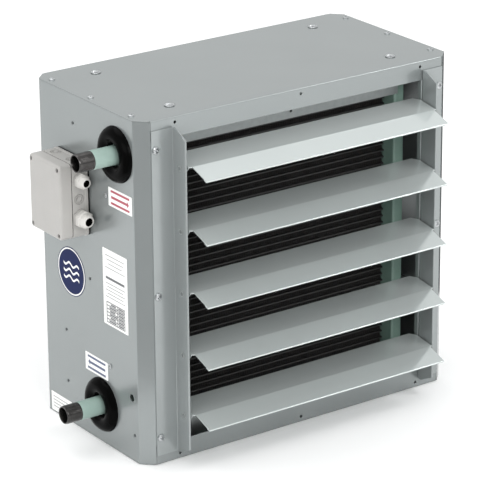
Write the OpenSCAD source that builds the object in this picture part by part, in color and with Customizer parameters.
// Hot water unit heater: a sheet steel casing with a heat exchanger behind hand-set air
// louvres, an axial fan at the back and a terminal box beside the two pipe stubs.
// Origin: centre of the casing's underside. X runs along the front, -Y is the louvre side.

/* [Casing] */
// Width across the front
body_w = 530; // [510:1:570]
// Depth from front to back
body_d = 270; // [264:1:300]
// Height
body_h = 500; // [494:1:530]
// Thickness of the casing sheet
sheet = 1.5; // [1.2:0.1:1.8]
// Leg of the 45 degree fold down each upright corner
corner_fold = 17; // [14:0.5:19]
// Height of the flange folded from the front and back of each cover
cover_lip = 28.5; // [26:0.5:31]
// Width of the side panels' front fold
front_fold = 37; // [36:0.5:38]
// Depth of the return folded back behind the front fold
return_fold = 8; // [6:0.5:10]
// Width of the side panels' rear fold
rear_fold = 30; // [26:0.5:32]
// Width of the shelf that the covers are screwed to
shelf_fold = 25; // [20:0.5:30]
// Spacing of the hanging nuts along the front
hang_x = 376; // [360:1:384]
// Spacing of the hanging nuts from front to back
hang_y = 184; // [170:1:190]

/* [Louvres] */
// Number of blades
blade_count = 5; // [4:1:5]
// Distance from pivot to pivot
blade_rise = 90; // [86:0.5:92]
// Thickness of the blade sheet
blade_sheet = 1.2; // [1:0.1:1.5]
// Length of the rear part of the blade, from its edge to the fold
blade_rear = 45.5; // [40:0.5:47]
// Length of the front part of the blade, from the fold to the tip
blade_front = 35.5; // [30:0.5:38]
// Slope of the rear part in the pictured position
rear_slope = 8.5; // [6:0.5:11]
// Slope of the front part in the pictured position
front_slope = 19; // [16:0.5:22]
// Length of the hem folded under each long edge
hem = 7; // [5:0.5:9]
// Distance that the bracket webs stand out from the casing
bracket_reach = 33; // [30:0.5:36]
// Width of the bracket flange on the casing
bracket_flange = 35.5; // [34:0.5:36]
// Radius of the pivot pins
pivot_r = 2.5; // [2:0.1:2.8]

/* [Heat exchanger] */
// Depth of the flat tubes and fins
core_d = 71; // [64:1:76]
// Distance from tube to tube
tube_pitch = 10; // [9:0.5:12]
// Thickness of a flat tube
tube_t = 2.4; // [2:0.1:3]
// Depth of the header tanks
tank_d = 116; // [108:1:120]
// Width of the header tanks
tank_w = 18; // [16:0.5:20]
// Height of the wall of each rail above or below the core
rail_drop = 49.5; // [47:0.5:52]
// Outside radius of the pipe stubs
pipe_r = 13.45; // [12.5:0.05:14]
// Wall of the pipe stubs
pipe_wall = 2.3; // [2:0.1:2.8]
// Distance between the pipe axes in height
pipe_rise = 384; // [374:1:386]
// Distance between the pipe axes in depth
pipe_step = 51; // [46:1:54]
// Distance that the pipes stand out from the side panel
pipe_out = 65; // [60:1:80]
// Length of the bare threaded end
nipple_len = 24; // [20:0.5:28]

/* [Fan] */
// Radius over the blade tips
fan_r = 174; // [168:0.5:175]
// Running gap between the tips and the nozzle
tip_gap = 4; // [3:0.5:6]
// Number of fan blades
fan_blades = 5; // [5:1:7]
// Radius of the motor's turning shell
rotor_r = 49; // [46:0.5:52]
// Distance between the rings of the guard
ring_pitch = 13; // [12:0.5:14]
// Radius of the guard's ring wire
ring_wire = 1.5; // [1.2:0.1:1.8]
// Radius of the guard's spoke wire
spoke_wire = 2; // [1.8:0.1:2.4]

/* [Terminal box] */
// Size of the box from front to back
box_y = 80; // [76:1:86]
// Height of the box
box_z = 108; // [104:1:114]
// Depth of the base
box_base = 27; // [25:0.5:30]
// Depth of the lid
box_lid_d = 19; // [16:0.5:22]
// Wall of the box
box_wall = 2.5; // [2:0.1:3]
// Width across the flats of the lower gland
gland_big = 24; // [23:0.5:25]
// Width across the flats of the upper gland
gland_small = 20; // [19:0.5:21]

/* [Hidden] */
$fn = 48;

// One overrun serves all cuts
cut = 1;
// Play between fixed parts that pass through each other
play = 0.15;
// Radial running clearance of the pins and the shaft
run_gap = 0.05;
// Side gap of a blade to the bush that it turns against
side_gap = 0.3;

// Colours
casing_grey = [0.64, 0.68, 0.67];
blade_grey = [0.72, 0.76, 0.75];
mint = [0.62, 0.75, 0.69];
zinc = [0.62, 0.64, 0.65];
dark_steel = [0.27, 0.27, 0.28];
black = [0.06, 0.06, 0.07];
box_grey = [0.78, 0.77, 0.74];
white = [0.94, 0.94, 0.93];

// Casing outline
half_w = body_w / 2;
half_d = body_d / 2;
mid_z = body_h / 2;
// What a 45 degree fold adds to the run of its inner face
fold_in = sheet * tan(22.5);
// Slit between a cover's flange and the corner fold
slit = 0.5;
lip_half = half_w - corner_fold - fold_in - slit;
fold_end = corner_fold + front_fold;
rear_end = corner_fold + rear_fold;
// Holes along the covers' flanges
lip_hole_x = 208;
lip_hole_r = 2.1;
lip_hole_drop = 8.3;
// Cover screws
cover_screw_in = 10.5;
cover_screw_step = 100;
screw_r = 2.1;
screw_len = 13;
pan_r = 4.2;
pan_h = 2.4;
sink_r = 3.8;
sink_h = 1.6;
sink_under = 0.1;
slot_w = 0.9;
slot_len = 4.6;
slot_deep = 1.1;
// Hanging nuts for M8 rod
nut_bore = 4;
nut_mouth = 5.2;
nut_r = 5.5;
nut_flange = 7;
nut_flange_h = 1.5;
nut_len = 16;

// Bracket and blade geometry
bracket_end = 14;
web_in = half_w - fold_end + sheet / 3;
web_straight = 8.5;
web_slant_run = bracket_reach - web_straight;
web_slant_rise = 12;
web_hem = 8;
bracket_screw_step = 209;
bracket_screw_in = 6;
pivot_back = 16;
pivot_y = -half_d - bracket_reach + pivot_back;
pivot_lift = 2;
function pivot_z(i) = mid_z + pivot_lift + ((blade_count + 1) / 2 - i) * blade_rise;
bush_r = 4;
bush_rim = 6;
bush_flange = 1.2;
bush_proud = 0.2;
// Outer face of the end tabs
tab_x = web_in - bush_flange - side_gap;
// End of the front part, set in to clear the tab
front_x = tab_x - 4.8 * blade_sheet / 1.2;
fold_ahead = 19;
fold_above = 6;
tab_drop = 8;
tab_half = 9;
tab_back = 16;
relief_r = 1.8;
pin_head_r = 4.5;
pin_head_h = 1.5;
pin_end = 0.4;
rear_corner = 8;

// Heat exchanger geometry
core_y = -52;
tank_in = 182;
tank_wall = 1.5;
tank_round = 3;
tank_inset = 22;
tube_count = floor((body_h - 2 * rail_drop) / tube_pitch) + 1;
tube_low = mid_z - (tube_count - 1) * tube_pitch / 2;
fin_setback = 1.5;
rail_half = 187;
rail_flange = 13;
rail_hole_r = 2;
rail_hole_up = 10.2;
hanger_w = 30;
hanger_lip = 9;
supply_y = core_y - pipe_step / 2;
return_y = core_y + pipe_step / 2;
supply_z = mid_z + pipe_rise / 2;
return_z = mid_z - pipe_rise / 2;
nipple_r = 13.2;
nipple_bore = 10.8;
nipple_chamfer = 1;
grommet_dome = 13.2;
grommet_mid = 26.8;
grommet_sink = 2.2;
grommet_hole = 34;
grommet_back_r = 38;
grommet_back_h = 3.5;
grommet_out = grommet_mid + grommet_dome;

// Fan geometry, along Y from the back panel
nozzle_r = fan_r + tip_gap;
nozzle_round = 12;
nozzle_len = 30;
panel_in = 21;
panel_foot = 6;
plate_back = half_d - sheet;
plate_front = plate_back - sheet;
hub_out = 33.3;
hub_front = plate_back + hub_out;
hub_t = 2.4;
hub_r = 62;
hub_hole = 20;
spoke_y = hub_front + hub_t + spoke_wire - 0.2;
spoke_in = 46;
spoke_knee = 153;
spoke_out = 205;
spoke_count = 8;
foot_in = 22;
foot_r = nozzle_r + nozzle_round + foot_in;
foot_disc = 9;
panel_screw_gap = 9.87;
panel_screw_step = foot_r * sin(180 / spoke_count) + foot_disc + panel_screw_gap;
foot_t = 2;
foot_hole = 2.6;
foot_y = plate_back + foot_t + spoke_wire;
ring_seat = 0.15;
ring_first = 75;
ring_last = 196;
stator_r = 52;
stator_t = 8;
stator_tube_r = 18.5;
stator_core_r = 43;
stator_core_len = 40;
rotor_gap = 1.8;
rotor_len = 65;
rotor_wall = 2.5;
rotor_cap = 3;
bearing_r = 15;
bearing_w = 9;
shaft_r = 5;
collar_r = 7.5;
collar_w = 1.5;
flange_y = hub_front - stator_t;
rotor_back = flange_y - rotor_gap;
rotor_front = rotor_back - rotor_len;
stator_mid = (rotor_front + rotor_back) / 2;
sleeve_t = 1.9;
sleeve_y = rotor_front + 8;
sleeve_len = 40;
vane_y = sleeve_y + sleeve_len / 2;
vane_chord_root = 56;
vane_chord_tip = 106;
vane_pitch_root = 36;
vane_pitch_tip = 23;
vane_camber = 7;
vane_edge = 1;
vane_mid = 3.2;
vane_rows = 6;
vane_cols = 6;
vane_start = 1.2;
vane_sweep = 20;
motor_screw_pcd = 84;
motor_screw_count = 4;

// Motor lead: route of the sheathed cable from the motor to the terminal box
lead_r = 3.5;
lead_hole_x = -207;
lead_box_y = 34;
lead_box_z = 332;
lead_start = -12;
lead_y = spoke_y + 2.4;
lead_route = [[lead_start, lead_y, mid_z], [-40, lead_y, mid_z], [-90, lead_y, mid_z],
    [-140, lead_y, mid_z], [-156, 172, mid_z], [-172, 163, mid_z], [-189, 153, mid_z],
    [-199, 148, mid_z], [-205, 143.5, mid_z], [lead_hole_x, 138.5, mid_z],
    [lead_hole_x, 126.5, mid_z], [-208.5, 115, 252], [-213, 102, 258],
    [-221, 86, 270], [-230, 70, 286], [-238, 56, 304], [-244, 44, 320], [-249, 37, 329],
    [-255, lead_box_y, lead_box_z], [-264, lead_box_y, lead_box_z], [-276, lead_box_y, lead_box_z]];
lead_sides = 10;
lead_grommet_r = 6.5;
lead_grommet_rim = 9;
lead_grommet_t = 2;
lead_slack = 0.3;

// Terminal box geometry
box_y0 = -6;
box_z0 = 305;
box_round = 6;
box_mid_y = box_y0 + box_y / 2;
box_mid_z = box_z0 + box_z / 2;
gasket_t = 1;
box_foot = 2;
lid_screw_in = 6.4;
lid_screw_r = 1.8;
lid_post_r = 4.5;
box_face_x = -half_w - box_foot;
seam_x = -half_w - box_base;
lid_x = seam_x - gasket_t - box_lid_d;
gland_out = 15;
gland_x = -half_w - gland_out;
gland_up = 28.5;
gland_step = 54.5;
gland_low_z = box_z0 + gland_up;
gland_high_z = gland_low_z + gland_step;
knock_r = 7.5;
knock_h = 0.8;
block_len = 46;
block_w = 20;
block_h = 16;
block_poles = 5;
block_up = 28;
box_screw_y = 27;
box_screw_z = 32;

// Labels, all of one film thickness
film = 0.3;
label_w = 58;
label_h = 27;
supply_label_y = -84.5;
label_gap = 11.5;
supply_label_z = supply_z - grommet_out - label_gap - label_h / 2;
return_label_y = -13.5;
return_label_gap = 0.5;
return_label_z = return_z + grommet_out + return_label_gap + label_h / 2;
data_w = 61;
data_h = 112;
data_y = -67;
data_drop = 8.5;
data_z = mid_z - data_drop;
sticker_r = 36;
sticker_y = 46.5;
sticker_drop = 15.5;
sticker_z = mid_z - sticker_drop;
corner_w = 55;
corner_h = 29;
corner_y = 84;
corner_z = 16.5;

// Shared shapes

// Box between two opposite corners
module block(a, b) translate(a) cube(b - a);

// Cylinder along X through the axis point at y, z
module bar_x(x0, x1, r, y = 0, z = 0)
    translate([x0, y, z]) rotate([0, 90, 0]) cylinder(h = x1 - x0, r = r);

// Cylinder along Y through the axis point at x, z
module bar_y(y0, y1, r, x = 0, z = 0)
    translate([x, y0, z]) rotate([-90, 0, 0]) cylinder(h = y1 - y0, r = r);

// Outline in Y and Z, drawn as 2D points, thickened along X
module slab_x(x0, x1) translate([x0, 0, 0]) rotate([90, 0, 90]) linear_extrude(x1 - x0) children();

// Turned shape about an axis along Y, drawn as radius and distance towards +Y
module turned_y(x = 0, y = 0, z = 0)
    translate([x, y, z]) rotate([-90, 0, 0]) rotate_extrude() children();

// Turned shape about an axis along X, drawn as radius and distance towards -X
module turned_out(x, y, z)
    translate([x, y, z]) rotate([0, -90, 0]) rotate_extrude() children();

module both_sides() {
    children();
    mirror([1, 0, 0]) children();
}

// Rectangle with true round corners, centred
module round_rect(w, d, r) {
    square([w - 2 * r, d], center = true);
    square([w, d - 2 * r], center = true);
    for (x = [-1, 1], y = [-1, 1])
        translate([x * (w / 2 - r), y * (d / 2 - r)]) circle(r);
}

// Pan head screw along +Z with its seat at zero and a slotted head
module pan_screw(len, r = screw_r, head = pan_r, h = pan_h) {
    translate([0, 0, -len]) cylinder(h = len, r = r);
    difference() {
        cylinder(h = h, r1 = head, r2 = head * 0.8);
        translate([0, 0, h - slot_deep]) {
            block([-slot_len / 2, -slot_w / 2, 0], [slot_len / 2, slot_w / 2, slot_deep + cut]);
            block([-slot_w / 2, -slot_len / 2, 0], [slot_w / 2, slot_len / 2, slot_deep + cut]);
        }
    }
}

// Casing

module cover_plan() polygon([
    [-half_w, -half_d + corner_fold], [-half_w + corner_fold, -half_d],
    [half_w - corner_fold, -half_d], [half_w, -half_d + corner_fold],
    [half_w, half_d - corner_fold], [half_w - corner_fold, half_d],
    [-half_w + corner_fold, half_d], [-half_w, half_d - corner_fold]]);

module at_cover_screws()
    for (x = [-1, 1], i = [-1, 0, 1])
        translate([x * (half_w - cover_screw_in), i * cover_screw_step, 0]) children();

module at_lip_holes()
    for (x = [-lip_hole_x, 0, lip_hole_x]) translate([x, 0, body_h - lip_hole_drop]) children();

module cover_shell() difference() {
    union() {
        translate([0, 0, body_h - sheet]) linear_extrude(sheet) cover_plan();
        for (m = [0, 1]) mirror([0, m, 0])
            block([-lip_half, -half_d, body_h - cover_lip],
                [lip_half, -half_d + sheet, body_h - sheet / 2]);
    }
    at_lip_holes() bar_y(-half_d - cut, half_d + cut, lip_hole_r);
}

module at_hanging_nuts()
    for (x = [-1, 1], y = [-1, 1]) translate([x * hang_x / 2, y * hang_y / 2, body_h]) children();

module top_cover() color(casing_grey) difference() {
    cover_shell();
    at_cover_screws()
        translate([0, 0, body_h - sheet - cut]) cylinder(h = sheet + 2 * cut, r = screw_r + play);
    at_hanging_nuts() translate([0, 0, -sheet - cut]) cylinder(h = sheet + 2 * cut, r = nut_r + play);
}

module bottom_cover() color(casing_grey) difference() {
    translate([0, 0, body_h]) mirror([0, 0, 1]) cover_shell();
    at_cover_screws() {
        translate([0, 0, -cut]) cylinder(h = sheet + 2 * cut, r = screw_r + play);
        translate([0, 0, -play])
            cylinder(h = sink_under + sink_h + play, r1 = sink_r + 2 * play, r2 = screw_r + play);
    }
}

// Left side panel: plan section of the upright sheet, from fold to fold
module side_plan() polygon([
    [-half_w + corner_fold, -half_d], [-half_w, -half_d + corner_fold],
    [-half_w, half_d - corner_fold], [-half_w + corner_fold, half_d],
    [-half_w + corner_fold + fold_in, half_d - sheet],
    [-half_w + sheet, half_d - corner_fold - fold_in],
    [-half_w + sheet, -half_d + corner_fold + fold_in],
    [-half_w + corner_fold + fold_in, -half_d + sheet]]);

module side_shell() difference() {
    union() {
        translate([0, 0, sheet]) linear_extrude(body_h - 2 * sheet) side_plan();
        block([-half_w + corner_fold, -half_d, cover_lip + slit],
            [-half_w + fold_end, -half_d + sheet, body_h - cover_lip - slit]);
        block([-half_w + fold_end - sheet, -half_d, cover_lip + slit],
            [-half_w + fold_end, -half_d + return_fold, body_h - cover_lip - slit]);
        block([-half_w + corner_fold, half_d - sheet, cover_lip + slit],
            [-half_w + rear_end, half_d, body_h - cover_lip - slit]);
        for (z = [sheet, body_h - 2 * sheet])
            block([-half_w + sheet / 2, -half_d + corner_fold + sheet, z],
                [-half_w + shelf_fold, half_d - corner_fold - sheet, z + sheet]);
    }
    at_cover_screws() translate([0, 0, -cut]) cylinder(h = body_h + 2 * cut, r = screw_r + play);
    at_bracket_screws() bar_y(-cut, sheet + cut, screw_r + play);
    at_side_screws() bar_y(-sheet - cut, cut, screw_r + play);
    at_tank_screws() bar_x(-cut, sheet + cut, screw_r + play);
}

// Left-hand places of the bracket screws, on the casing's front face
module at_bracket_screws()
    for (i = [-1, 0, 1])
        translate([-web_in - bracket_flange + bracket_screw_in, -half_d,
            mid_z + i * bracket_screw_step]) children();

// Left-hand places of the screws through the side panel's rear fold
module at_side_screws()
    for (i = [-1, 1])
        translate([-half_w + rear_end - rear_fold / 2, half_d, mid_z + i * panel_screw_step]) children();

// Places of the small rivets on the left side panel
rivet_y = [31.7, -1.8, 64.9, 64.4, -108];
rivet_top_gap = 42.6;
rivet_mid_drop = 10.9;
rivet_low_drop = 108.8;
rivet_z = [body_h - rivet_top_gap, mid_z - rivet_mid_drop, mid_z - rivet_low_drop, 62.4, 39.8];
rivet_r = 1.4;
rivet_head = 2.1;
rivet_head_h = 0.8;
open_hole_y = -102.4;
open_hole_z = 94.5;
open_hole_r = 5.4;
tank_screw_y = -49;
tank_screw_in = 66;
tank_screw_rise = pipe_rise / 2 - tank_screw_in;
tank_screw_head = 3.5;
tank_screw_head_h = 2;

// Left-hand places of the screws that hold the header tanks
module at_tank_screws()
    for (m = [-1, 1]) translate([-half_w, tank_screw_y, mid_z + m * tank_screw_rise]) children();

module at_rivets()
    for (i = [0 : len(rivet_y) - 1]) translate([-half_w, rivet_y[i], rivet_z[i]]) children();

module left_side_panel() color(casing_grey) difference() {
    side_shell();
    bar_x(-half_w - cut, -half_w + sheet + cut, grommet_hole, supply_y, supply_z);
    bar_x(-half_w - cut, -half_w + sheet + cut, grommet_hole, return_y, return_z);
    bar_x(-half_w - cut, -half_w + sheet + cut, open_hole_r, open_hole_y, open_hole_z);
    bar_x(-half_w - cut, -half_w + sheet + cut, lead_grommet_r, lead_box_y, lead_box_z);
    at_rivets() bar_x(-cut, sheet + cut, rivet_r + play);
    at_box_screws() bar_x(-cut, box_foot + sheet + cut, screw_r + play);
}

module right_side_panel() color(casing_grey) mirror([1, 0, 0]) side_shell();

module panel_rivets() color(zinc) at_rivets() {
    bar_x(-rivet_head_h, 0, rivet_head);
    bar_x(-play, sheet + 2 * rivet_head_h, rivet_r);
}

module tank_screws() color(zinc) both_sides() at_tank_screws()
    rotate([0, -90, 0]) pan_screw(screw_len, screw_r, tank_screw_head, tank_screw_head_h);

module cover_screws() color(zinc) at_cover_screws() {
    translate([0, 0, body_h]) pan_screw(screw_len);
    translate([0, 0, sink_under]) {
        difference() {
            cylinder(h = sink_h, r1 = sink_r, r2 = screw_r);
            for (a = [0, 90]) rotate([0, 0, a])
                block([-slot_len / 2, -slot_w / 2, -cut], [slot_len / 2, slot_w / 2, slot_deep]);
        }
        translate([0, 0, sink_h]) cylinder(h = screw_len - sink_h, r = screw_r);
    }
}

module hanging_nuts() color(zinc) at_hanging_nuts() difference() {
    union() {
        cylinder(h = nut_flange_h, r = nut_flange);
        translate([0, 0, -nut_len]) cylinder(h = nut_len, r = nut_r);
    }
    translate([0, 0, -nut_len - cut]) cylinder(h = nut_len + nut_flange_h + 2 * cut, r = nut_bore);
    translate([0, 0, nut_flange_h - nut_mouth + nut_bore])
        cylinder(h = nut_mouth - nut_bore + play, r1 = nut_bore, r2 = nut_mouth + play);
}

// Louvre brackets and blades

module web_outline() {
    y0 = -half_d - sheet / 2;
    y1 = -half_d - web_straight;
    y2 = -half_d - bracket_reach;
    polygon([[y0, bracket_end], [y0, body_h - bracket_end], [y1, body_h - bracket_end],
        [y2, body_h - bracket_end - web_slant_rise], [y2, bracket_end + web_slant_rise],
        [y1, bracket_end]]);
}

module left_bracket() color(casing_grey) difference() {
    union() {
        block([-web_in - bracket_flange, -half_d - sheet, bracket_end],
            [-web_in, -half_d, body_h - bracket_end]);
        slab_x(-web_in - sheet, -web_in) web_outline();
        block([-web_in - 2 * sheet, -half_d - bracket_reach, bracket_end + web_slant_rise],
            [-web_in - sheet / 2, -half_d - bracket_reach + web_hem,
                body_h - bracket_end - web_slant_rise]);
    }
    at_bracket_screws() bar_y(-sheet - cut, cut, screw_r + play);
    for (i = [1 : blade_count])
        bar_x(-web_in - 2 * sheet - cut, -web_in + cut, bush_r + play / 3, pivot_y, pivot_z(i));
}

module left_louvre_bracket() left_bracket();
module right_louvre_bracket() mirror([1, 0, 0]) left_bracket();

module bracket_screws() color(zinc) both_sides()
    at_bracket_screws() translate([0, -sheet, 0]) rotate([90, 0, 0])
        pan_screw(screw_len, screw_r, pan_r * 1.15, pan_h);

module pivot_bushes() color(white) both_sides()
    for (i = [1 : blade_count]) translate([-web_in, pivot_y, pivot_z(i)]) difference() {
        union() {
            bar_x(0, bush_flange, bush_rim);
            bar_x(-sheet - bush_proud, play, bush_r);
        }
        bar_x(-sheet - bush_proud - cut, bush_flange + cut, pivot_r + run_gap);
    }

// Blade outline points, as distance ahead of the pivot and height above it
fold_p = [fold_ahead, fold_above];
rear_p = fold_p + blade_rear * [-cos(rear_slope), sin(rear_slope)];
tip_p = fold_p + blade_front * [cos(front_slope), -sin(front_slope)];
function back_along(p, run, slope) = p + run * [-cos(slope), sin(slope)];
function drop(p, h) = [p[0], p[1] - h];
function ahead(points) = [for (p = points) [-p[0], p[1]]];

module strip(a, b, top, bottom)
    polygon(ahead([drop(a, top), drop(b, top), drop(b, bottom), drop(a, bottom)]));

module blade(i) color(blade_grey) translate([0, pivot_y, pivot_z(i)]) difference() {
    union() {
        slab_x(-front_x, front_x) {
            strip(fold_p, tip_p, 0, blade_sheet);
            strip(back_along(tip_p, hem, front_slope), tip_p, blade_sheet / 2, 2 * blade_sheet);
        }
        slab_x(-tab_x, tab_x) strip(rear_p, fold_p, 0, blade_sheet);
        slab_x(-tab_x + rear_corner, tab_x - rear_corner)
            strip(rear_p, back_along(rear_p, -hem, rear_slope), blade_sheet / 2, 2 * blade_sheet);
        both_sides() slab_x(-tab_x, -tab_x + blade_sheet) polygon(ahead([
            drop(fold_p, blade_sheet / 2), [tab_half, -tab_drop], [-tab_half, -tab_drop],
            drop(back_along(fold_p, fold_ahead + tab_back, rear_slope), blade_sheet / 2)]));
    }
    both_sides() {
        bar_x(-tab_x - cut, -tab_x + blade_sheet + cut, pivot_r + play / 3);
        translate([-tab_x + blade_sheet + relief_r * 0.7, -fold_ahead + relief_r * 0.6, 0])
            cylinder(h = fold_above + relief_r, r = relief_r);
        translate([-tab_x, -rear_p[0] - blade_sheet / 2, rear_p[1]]) rotate([0, 0, 45])
            cube([rear_corner * sqrt(2), rear_corner * sqrt(2), rear_corner], center = true);
    }
}

module blade_pivots(i) color(zinc) both_sides() translate([-web_in, pivot_y, pivot_z(i)]) {
    bar_x(-sheet - pin_end, web_in - tab_x + blade_sheet, pivot_r);
    bar_x(web_in - tab_x + blade_sheet, web_in - tab_x + blade_sheet + pin_head_h, pin_head_r);
}

module louvre_blade_1() blade(1);
module louvre_blade_2() blade(2);
module louvre_blade_3() blade(3);
module louvre_blade_4() blade(4);
module louvre_blade_5() blade(5);
module blade_1_pivots() blade_pivots(1);
module blade_2_pivots() blade_pivots(2);
module blade_3_pivots() blade_pivots(3);
module blade_4_pivots() blade_pivots(4);
module blade_5_pivots() blade_pivots(5);

// Heat exchanger

module tank() difference() {
    translate([-tank_in - tank_w / 2, core_y, tank_inset])
        linear_extrude(body_h - 2 * tank_inset) round_rect(tank_w, tank_d, tank_round);
    translate([-tank_in - tank_w / 2, core_y, tank_inset + tank_wall])
        linear_extrude(body_h - 2 * tank_inset - 2 * tank_wall)
            round_rect(tank_w - 2 * tank_wall, tank_d - 2 * tank_wall, tank_round - tank_wall);
}

module left_header_tank() color(mint) difference() {
    union() {
        tank();
        block([-tank_in - tank_w + tank_wall / 2, core_y - tank_d / 2 + tank_wall / 2, mid_z],
            [-tank_in - tank_wall / 2, core_y + tank_d / 2 - tank_wall / 2, mid_z + tank_wall]);
    }
    for (p = [[supply_y, supply_z], [return_y, return_z]])
        bar_x(-tank_in - tank_w - cut, -tank_in - tank_w + tank_wall + cut,
            pipe_r - pipe_wall, p[0], p[1]);
}

module right_header_tank() color(mint) mirror([1, 0, 0]) tank();

module at_tubes(count)
    for (i = [0 : count - 1]) translate([0, core_y, tube_low + i * tube_pitch]) children();

module flat_tubes() color(dark_steel) at_tubes(tube_count) slab_x(-tank_in, tank_in) {
    square([core_d - tube_t, tube_t], center = true);
    for (y = [-1, 1]) translate([y * (core_d - tube_t) / 2, 0]) circle(tube_t / 2);
}

// One bank of folded fin foil between two tubes, simplified to a solid strip
module fin_ribbons() color(black) at_tubes(tube_count - 1)
    block([-tank_in, -core_d / 2 + tube_t / 2 + fin_setback, tube_t / 2],
        [tank_in, core_d / 2 - tube_t / 2 - fin_setback, tube_pitch - tube_t / 2]);

module rail() {
    y0 = core_y - tank_d / 2 - sheet;
    difference() {
        block([-rail_half, y0, body_h - rail_drop], [rail_half, y0 + sheet, body_h - sheet]);
        bar_y(y0 - cut, y0 + sheet + cut, rail_hole_r, 0, body_h - rail_drop + rail_hole_up);
    }
    block([-rail_half, y0 + sheet / 2, body_h - 2 * sheet],
        [rail_half, y0 + rail_flange, body_h - sheet]);
    block([-tank_in + play, y0 + sheet / 2, body_h - rail_drop],
        [tank_in - play, core_y - core_d / 2 - play, body_h - rail_drop + sheet]);
}

module top_rail() color(zinc) rail();
module bottom_rail() color(zinc) translate([0, 0, body_h]) mirror([0, 0, 1]) rail();

// Channels that carry the tanks on the side panels
module tank_brackets() color(zinc) both_sides() for (m = [0, 1])
    translate([0, tank_screw_y, m * body_h]) mirror([0, 0, m]) difference() {
        z = mid_z + tank_screw_rise;
        x = [-half_w + sheet, -tank_in - tank_w - sheet];
        union() {
            for (f = x) block([f, -hanger_w / 2, z - hanger_lip], [f + sheet, hanger_w / 2, z + hanger_lip]);
            block([x[0] + sheet / 2, -hanger_w / 2, z - hanger_lip],
                [x[1] + sheet / 2, hanger_w / 2, z - hanger_lip + sheet]);
        }
        bar_x(-half_w, -half_w + 3 * sheet, screw_r + play, 0, z);
    }

module pipe(y, z) color(mint) difference() {
    bar_x(-half_w - pipe_out + nipple_len, -tank_in - tank_w, pipe_r, y, z);
    bar_x(-half_w - pipe_out + nipple_len - cut, -tank_in - tank_w + cut, pipe_r - pipe_wall, y, z);
}

module nipple(y, z) color(dark_steel) turned_out(-half_w - pipe_out + nipple_len, y, z)
    polygon([[nipple_bore, 0], [nipple_r, 0], [nipple_r, nipple_len - nipple_chamfer],
        [nipple_r - nipple_chamfer, nipple_len], [nipple_bore, nipple_len]]);

module grommet(y, z) color(black) turned_out(-half_w, y, z) {
    difference() {
        translate([grommet_mid, -grommet_sink]) circle(grommet_dome);
        translate([0, -2 * grommet_dome]) square([2 * grommet_hole, 2 * grommet_dome]);
        square([pipe_r + play, 2 * grommet_dome]);
    }
    translate([pipe_r + play, -sheet - play])
        square([grommet_hole - pipe_r - 2 * play, sheet + 2 * play]);
    translate([pipe_r + play, -sheet - grommet_back_h])
        square([grommet_back_r - pipe_r - play, grommet_back_h]);
}

module supply_pipe() pipe(supply_y, supply_z);
module return_pipe() pipe(return_y, return_z);
module supply_nipple() nipple(supply_y, supply_z);
module return_nipple() nipple(return_y, return_z);
module supply_grommet() grommet(supply_y, supply_z);
module return_grommet() grommet(return_y, return_z);

// Back panel, guard, motor and fan

module rear_panel() color(casing_grey) {
    difference() {
        block([-half_w + panel_in, plate_front, panel_foot],
            [half_w - panel_in, plate_back, body_h - panel_foot]);
        bar_y(plate_front - cut, plate_back + cut, nozzle_r + nozzle_round - sheet / 2, 0, mid_z);
        at_lip_holes() bar_y(plate_front - cut, plate_back + cut, screw_r + play);
        translate([0, 0, body_h]) mirror([0, 0, 1]) at_lip_holes()
            bar_y(plate_front - cut, plate_back + cut, screw_r + play);
        both_sides() at_side_screws() bar_y(-2 * sheet - cut, cut, screw_r + play);
        at_spokes() bar_y(plate_front - cut, plate_back + cut, foot_hole, foot_r, 0);
        bar_y(plate_front - cut, plate_back + cut, lead_grommet_r, lead_hole_x, mid_z);
    }
    turned_y(0, plate_back, mid_z) {
        difference() {
            translate([nozzle_r + nozzle_round, -nozzle_round]) circle(nozzle_round);
            translate([nozzle_r + nozzle_round, -nozzle_round]) circle(nozzle_round - sheet);
            translate([nozzle_r + nozzle_round, -3 * nozzle_round]) square(4 * nozzle_round);
            translate([nozzle_r - cut, -3 * nozzle_round]) square([3 * nozzle_round, 2 * nozzle_round]);
        }
        translate([nozzle_r, -nozzle_len]) square([sheet, nozzle_len - nozzle_round]);
    }
}

module at_spokes()
    for (i = [0 : spoke_count - 1])
        translate([0, 0, mid_z]) rotate([0, (i + 1 / 2) * 360 / spoke_count, 0]) children();

module rear_panel_screws() color(zinc) {
    for (m = [0, 1]) translate([0, 0, m * body_h]) mirror([0, 0, m])
        at_lip_holes() translate([0, half_d, 0]) rotate([-90, 0, 0]) pan_screw(screw_len);
    both_sides() at_side_screws() rotate([-90, 0, 0]) pan_screw(screw_len);
}

// Height of the guard's spokes behind the panel at a given radius
function spoke_height(r) = r < spoke_knee ? spoke_y
    : spoke_y - (spoke_y - foot_y) * (r - spoke_knee) / (spoke_out - spoke_knee);
// Sine and cosine of the slope of the spokes' outer part
slant = atan((spoke_y - foot_y) / (spoke_out - spoke_knee));
ring_off = spoke_wire + ring_wire + ring_seat;

module guard_rings() color(black)
    for (r = [ring_first : ring_pitch : ring_last])
        turned_y(0, r < spoke_knee ? spoke_y - ring_off : spoke_height(r) - ring_off / cos(slant), mid_z)
            translate([r, 0]) circle(ring_wire);

module wire(a, b) {
    d = b - a;
    n = norm(d);
    translate(a) rotate([0, acos(d[2] / n), atan2(d[1], d[0])]) cylinder(h = n, r = spoke_wire);
}

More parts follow.
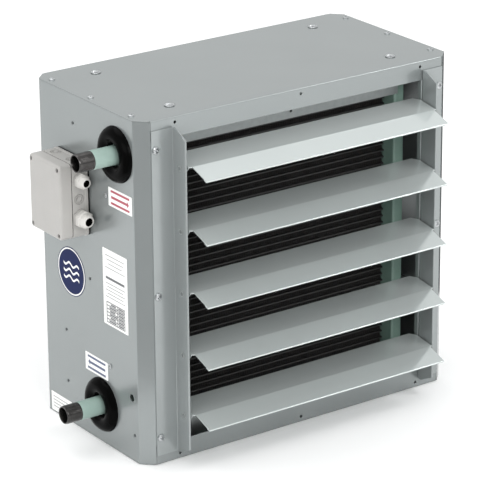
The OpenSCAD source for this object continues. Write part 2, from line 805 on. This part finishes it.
module guard_spokes() color(black) {
    at_spokes() {
        bar_x(spoke_in, spoke_knee, spoke_wire, spoke_y, 0);
        wire([spoke_knee, spoke_y, 0], [spoke_out, foot_y, 0]);
        difference() {
            bar_y(plate_back, foot_y - spoke_wire / 2, foot_disc, foot_r, 0);
            bar_y(plate_back - cut, foot_y + cut, foot_hole, foot_r, 0);
        }
    }
    difference() {
        bar_y(hub_front, hub_front + hub_t, hub_r, 0, mid_z);
        bar_y(hub_front - cut, hub_front + hub_t + cut, hub_hole, 0, mid_z);
        at_motor_screws() bar_y(hub_front - cut, hub_front + hub_t + cut, screw_r + play);
    }
}

module at_motor_screws()
    for (i = [0 : motor_screw_count - 1])
        translate([0, 0, mid_z]) rotate([0, (i + 1 / 2) * 360 / motor_screw_count, 0])
            translate([motor_screw_pcd / 2, 0, 0]) children();

module guard_screws() color(zinc) at_spokes()
    translate([foot_r, foot_y - spoke_wire / 2, 0]) rotate([-90, 0, 0]) pan_screw(screw_len);

module motor_screws() color(zinc) at_motor_screws()
    translate([0, hub_front + hub_t, 0]) rotate([-90, 0, 0]) pan_screw(hub_t + stator_t / 2 + screw_r);

bearing_front = rotor_front + rotor_cap + 8;
bearing_rear = flange_y - bearing_w;

module motor_stator() color([0.2, 0.2, 0.21]) difference() {
    union() {
        bar_y(flange_y, hub_front, stator_r, 0, mid_z);
        bar_y(bearing_front, flange_y + cut, stator_tube_r, 0, mid_z);
        bar_y(stator_mid - stator_core_len / 2, stator_mid + stator_core_len / 2,
            stator_core_r, 0, mid_z);
        bar_y(hub_front - cut, lead_y + 2 * spoke_wire, hub_hole - play, 0, mid_z);
    }
    bar_y(bearing_front - cut, hub_front - stator_t / 2, bearing_r, 0, mid_z);
    bar_x(-hub_hole - cut, lead_start + play, lead_r + lead_slack, lead_y, mid_z);
    at_motor_screws() bar_y(hub_front - stator_t / 2 - screw_r - play, hub_front + cut, screw_r + play);
}

module motor_winding() color([0.72, 0.45, 0.2]) turned_y(0, stator_mid, mid_z) for (m = [0, 1])
    mirror([0, m]) translate([stator_tube_r + play, stator_core_len / 2])
        square([stator_core_r - stator_tube_r - 3 * play - sleeve_t, rotor_cap]);

module motor_bearings() color(zinc) for (y = [bearing_front, bearing_rear]) difference() {
    bar_y(y, y + bearing_w, bearing_r - play / 5, 0, mid_z);
    bar_y(y - cut, y + bearing_w + cut, shaft_r + run_gap, 0, mid_z);
}

module motor_shaft() color(zinc) {
    bar_y(rotor_front, flange_y + stator_t / 4, shaft_r, 0, mid_z);
    bar_y(bearing_front - collar_w - run_gap, bearing_front - run_gap, collar_r, 0, mid_z);
}

module motor_rotor() color([0.2, 0.2, 0.21]) difference() {
    bar_y(rotor_front, rotor_back, rotor_r, 0, mid_z);
    bar_y(rotor_front + rotor_cap, rotor_back + cut, rotor_r - rotor_wall, 0, mid_z);
    bar_y(rotor_front - cut, rotor_front + rotor_cap + cut, shaft_r + run_gap / 2, 0, mid_z);
}

// Fan blade: a cambered plate whose chord, pitch and sweep change from root to tip.
// A point of it: share of the span, share of the chord from -1/2 to 1/2, side 1 or -1
function vane_point(span, u, face) = let (
    r = rotor_r + vane_start + (fan_r - rotor_r - vane_start) * span,
    chord = vane_chord_root + (vane_chord_tip - vane_chord_root) * span,
    pitch = vane_pitch_root + (vane_pitch_tip - vane_pitch_root) * span,
    across = u * chord * cos(pitch) + vane_sweep * span * sqrt(span),
    rise = u * chord * sin(pitch) - vane_camber * (1 - 4 * u * u) * cos(pitch) / 2,
    thick = (vane_edge + (vane_mid - vane_edge) * (1 - 4 * u * u)) / 2,
    turn = across / r * 180 / PI)
    [r * cos(turn), rise + face * thick, r * sin(turn)];
module vane() {
    n = vane_cols + 1;
    half = n * (vane_rows + 1);
    points = [for (face = [1, -1], k = [0 : vane_rows], i = [0 : vane_cols])
        vane_point(k / vane_rows, i / vane_cols - 1 / 2, face)];
    skin = [for (k = [0 : vane_rows - 1], i = [0 : vane_cols - 1]) let (a = k * n + i)
        each [[a, a + 1, a + n + 1], [a, a + n + 1, a + n],
            [a + half, a + half + n + 1, a + half + 1], [a + half, a + half + n, a + half + n + 1]]];
    rim = concat([for (i = [0 : vane_cols]) i], [for (k = [1 : vane_rows]) k * n + n - 1],
        [for (i = [vane_cols - 1 : -1 : 0]) vane_rows * n + i], [for (k = [vane_rows - 1 : -1 : 1]) k * n]);
    edge = [for (j = [0 : len(rim) - 1]) let (a = rim[j], b = rim[(j + 1) % len(rim)])
        each [[b, a, a + half], [b, a + half, b + half]]];
    polyhedron(points, [for (f = concat(skin, edge)) [f[2], f[1], f[0]]]);
}

module fan_impeller() color(black) difference() {
    union() {
        bar_y(sleeve_y, sleeve_y + sleeve_len, rotor_r + sleeve_t, 0, mid_z);
        for (i = [0 : fan_blades - 1])
            translate([0, vane_y, mid_z]) rotate([0, i * 360 / fan_blades, 0]) vane();
    }
    bar_y(sleeve_y - sleeve_len, sleeve_y + 2 * sleeve_len, rotor_r + run_gap, 0, mid_z);
}

// Tube swept along a route, with a ring of points square to the path at each route point
function path_dir(p, i) = let (a = p[max(i - 1, 0)], b = p[min(i + 1, len(p) - 1)]) (b - a) / norm(b - a);
function side_of(d) = let (s = cross(d, [0, 0, 1])) s / norm(s);
module sweep(p, r, sides) {
    points = [for (i = [0 : len(p) - 1]) let (d = path_dir(p, i), u = side_of(d), v = cross(u, d))
        for (k = [0 : sides - 1]) p[i] + r * (u * cos(k * 360 / sides) + v * sin(k * 360 / sides))];
    last = (len(p) - 1) * sides;
    polyhedron(points, concat(
        [[for (k = [0 : sides - 1]) k]],
        [for (i = [0 : len(p) - 2], k = [0 : sides - 1]) let (n = (k + 1) % sides)
            [i * sides + k, (i + 1) * sides + k, (i + 1) * sides + n, i * sides + n]],
        [[for (k = [sides - 1 : -1 : 0]) last + k]]));
}

module motor_lead() color(black) sweep(lead_route, lead_r, lead_sides);

module lead_grommets() color(black) {
    difference() {
        union() {
            bar_y(plate_front - lead_grommet_t, plate_front, lead_grommet_rim, lead_hole_x, mid_z);
            bar_y(plate_front - play, plate_back + play, lead_grommet_r - play, lead_hole_x, mid_z);
            bar_y(plate_back, plate_back + lead_grommet_t, lead_grommet_rim, lead_hole_x, mid_z);
        }
        bar_y(plate_front - lead_grommet_t - cut, plate_back + lead_grommet_t + cut, lead_r + lead_slack,
            lead_hole_x, mid_z);
    }
    difference() {
        union() {
            bar_x(-half_w + sheet, -half_w + sheet + lead_grommet_t, lead_grommet_rim,
                lead_box_y, lead_box_z);
            bar_x(-half_w, -half_w + sheet + play, lead_grommet_r - play, lead_box_y, lead_box_z);
        }
        bar_x(-half_w - cut, -half_w + sheet + lead_grommet_t + cut, lead_r + lead_slack, lead_box_y, lead_box_z);
    }
}

// Terminal box

module box_prism(x0, x1, inset, r)
    translate([0, box_mid_y, box_mid_z]) slab_x(x0, x1)
        round_rect(box_y - 2 * inset, box_z - 2 * inset, r);

module at_lid_screws()
    for (y = [-1, 1], z = [-1, 1])
        translate([0, box_mid_y + y * (box_y / 2 - lid_screw_in), box_mid_z + z * (box_z / 2 - lid_screw_in)])
            children();

module at_glands() {
    translate([gland_x, box_y0, gland_low_z]) children(0);
    translate([gland_x, box_y0, gland_high_z]) children(1);
}

// Sizes that follow from a gland's width across flats
function gland_bore(af) = af * 0.2;
function gland_thread(af) = af * 0.4;
function gland_seat(af) = af * 0.2;
function gland_cap(af) = af * 0.75;

module terminal_box_base() color(box_grey) {
    difference() {
        union() {
            difference() {
                box_prism(seam_x, box_face_x, 0, box_round);
                box_prism(seam_x - cut, box_face_x - box_wall, box_wall, box_round - box_wall);
            }
            at_lid_screws() bar_x(seam_x, -half_w, lid_post_r);
            translate([gland_x, box_y0, (gland_low_z + gland_high_z) / 2]) bar_y(-knock_h, cut, knock_r);
            for (y = [-1, 1]) translate([gland_x, box_mid_y + y * box_y / 4, box_z0 + box_z - cut])
                cylinder(h = cut + knock_h, r = knock_r);
        }
        at_lid_screws() bar_x(seam_x - cut, box_face_x - 2 * box_wall, lid_screw_r + play);
        at_glands() {
            bar_y(-cut, box_wall + cut, gland_thread(gland_big) + play);
            bar_y(-cut, box_wall + cut, gland_thread(gland_small) + play);
        }
        bar_x(box_face_x - box_wall - cut, box_face_x + cut, lead_r + 2 * play, lead_box_y, lead_box_z);
        at_box_screws() bar_x(-box_wall - cut, cut, screw_r + play);
    }
}

module lid_gasket() color(black) difference() {
    box_prism(seam_x - gasket_t, seam_x, box_wall / 4, box_round - box_wall / 4);
    box_prism(seam_x - gasket_t - cut, seam_x + cut, box_wall, box_round - box_wall);
    at_lid_screws() bar_x(seam_x - gasket_t - cut, seam_x + cut, lid_post_r);
}

module terminal_box_lid() color(box_grey) difference() {
    union() {
        difference() {
            box_prism(lid_x, seam_x - gasket_t, 0, box_round);
            box_prism(lid_x + box_wall, seam_x - gasket_t + cut, box_wall, box_round - box_wall);
        }
        at_lid_screws() bar_x(lid_x + box_wall / 2, seam_x - gasket_t, lid_post_r);
    }
    at_lid_screws() {
        bar_x(lid_x - cut, seam_x - gasket_t + cut, lid_screw_r + play);
        bar_x(lid_x - cut, lid_x + box_wall + pan_h, pan_r * 0.7 + 2 * play);
    }
}

module lid_screws() color(zinc) at_lid_screws() {
    bar_x(lid_x + box_wall + play, lid_x + box_wall + pan_h, pan_r * 0.7);
    bar_x(lid_x + box_wall + pan_h - play, seam_x + screw_len, lid_screw_r);
}

// Screws from inside the box into the side panel, beside the lid posts
module at_box_screws()
    for (m = [-1, 1]) translate([box_face_x, box_mid_y + m * box_screw_y, box_mid_z - m * box_screw_z])
        children();

module box_screws() color(zinc) at_box_screws()
    translate([-box_wall, 0, 0]) rotate([0, -90, 0]) pan_screw(box_wall + box_foot + 2 * sheet);

module gland_body(af) difference() {
    union() {
        translate([0, 0, 0]) rotate([90, 0, 0])
            cylinder(h = gland_seat(af), r = af / sqrt(3), $fn = 6);
        bar_y(-gland_seat(af) - gland_cap(af) / 2, box_wall + gland_seat(af), gland_thread(af));
        translate([0, box_wall + gland_seat(af), 0]) rotate([90, 30, 0])
            cylinder(h = gland_seat(af) - play, r = af * nut_share, $fn = 6);
    }
    bar_y(-af, af, gland_bore(af));
}

nut_share = 0.49;

// Cap nut with a domed front, open at its bore
module gland_cap_nut(af) translate([0, -gland_seat(af), 0]) difference() {
    union() {
        rotate([90, 0, 0]) cylinder(h = gland_cap(af) / 2, r = af * 0.95 / sqrt(3), $fn = 6);
        translate([0, -gland_cap(af) / 2, 0]) rotate([90, 0, 0])
            cylinder(h = gland_cap(af) / 2, r1 = af * 0.475, r2 = af * 0.36);
    }
    bar_y(-gland_cap(af) / 2, cut, gland_thread(af) + play);
    bar_y(-af, cut, gland_bore(af));
}

module cable_glands() color(white) at_glands() {
    gland_body(gland_big);
    gland_body(gland_small);
}

module gland_caps() color(white) at_glands() {
    gland_cap_nut(gland_big);
    gland_cap_nut(gland_small);
}

module terminal_block() color(white)
    translate([box_face_x - box_wall, box_mid_y + block_w / 2, box_mid_z + block_up - block_len / 2])
        difference() {
            block([-block_h, -block_w / 2, -block_len / 2], [0, block_w / 2, block_len / 2]);
            for (i = [0 : block_poles - 1])
                translate([0, 0, (i + 1 / 2) * block_len / block_poles - block_len / 2])
                    bar_x(-block_h - cut, -block_h / 2, screw_r);
        }

// Labels: plain films

module film_at(y, z, w, h) block([-half_w - film, y - w / 2, z - h / 2], [-half_w, y + w / 2, z + h / 2]);

module small_labels() color(white) {
    film_at(supply_label_y, supply_label_z, label_w, label_h);
    film_at(return_label_y, return_label_z, label_w, label_h);
    film_at(corner_y, corner_z, corner_w, corner_h);
}
module data_label() color(white) film_at(data_y, data_z, data_w, data_h);
module round_sticker() color([0.13, 0.25, 0.5])
    bar_x(-half_w - film, -half_w, sticker_r, sticker_y, sticker_z);

top_cover();
bottom_cover();
left_side_panel();
right_side_panel();
rear_panel();
cover_screws();
hanging_nuts();
rear_panel_screws();
panel_rivets();
tank_screws();
left_louvre_bracket();
right_louvre_bracket();
bracket_screws();
pivot_bushes();
louvre_blade_1();
louvre_blade_2();
louvre_blade_3();
louvre_blade_4();
louvre_blade_5();
blade_1_pivots();
blade_2_pivots();
blade_3_pivots();
blade_4_pivots();
blade_5_pivots();
left_header_tank();
right_header_tank();
flat_tubes();
fin_ribbons();
top_rail();
bottom_rail();
tank_brackets();
supply_pipe();
return_pipe();
supply_nipple();
return_nipple();
supply_grommet();
return_grommet();
guard_rings();
guard_spokes();
guard_screws();
motor_stator();
motor_winding();
motor_bearings();
motor_shaft();
motor_rotor();
fan_impeller();
motor_screws();
motor_lead();
lead_grommets();
terminal_box_base();
terminal_box_lid();
lid_gasket();
lid_screws();
cable_glands();
gland_caps();
terminal_block();
small_labels();
data_label();
round_sticker();
box_screws();
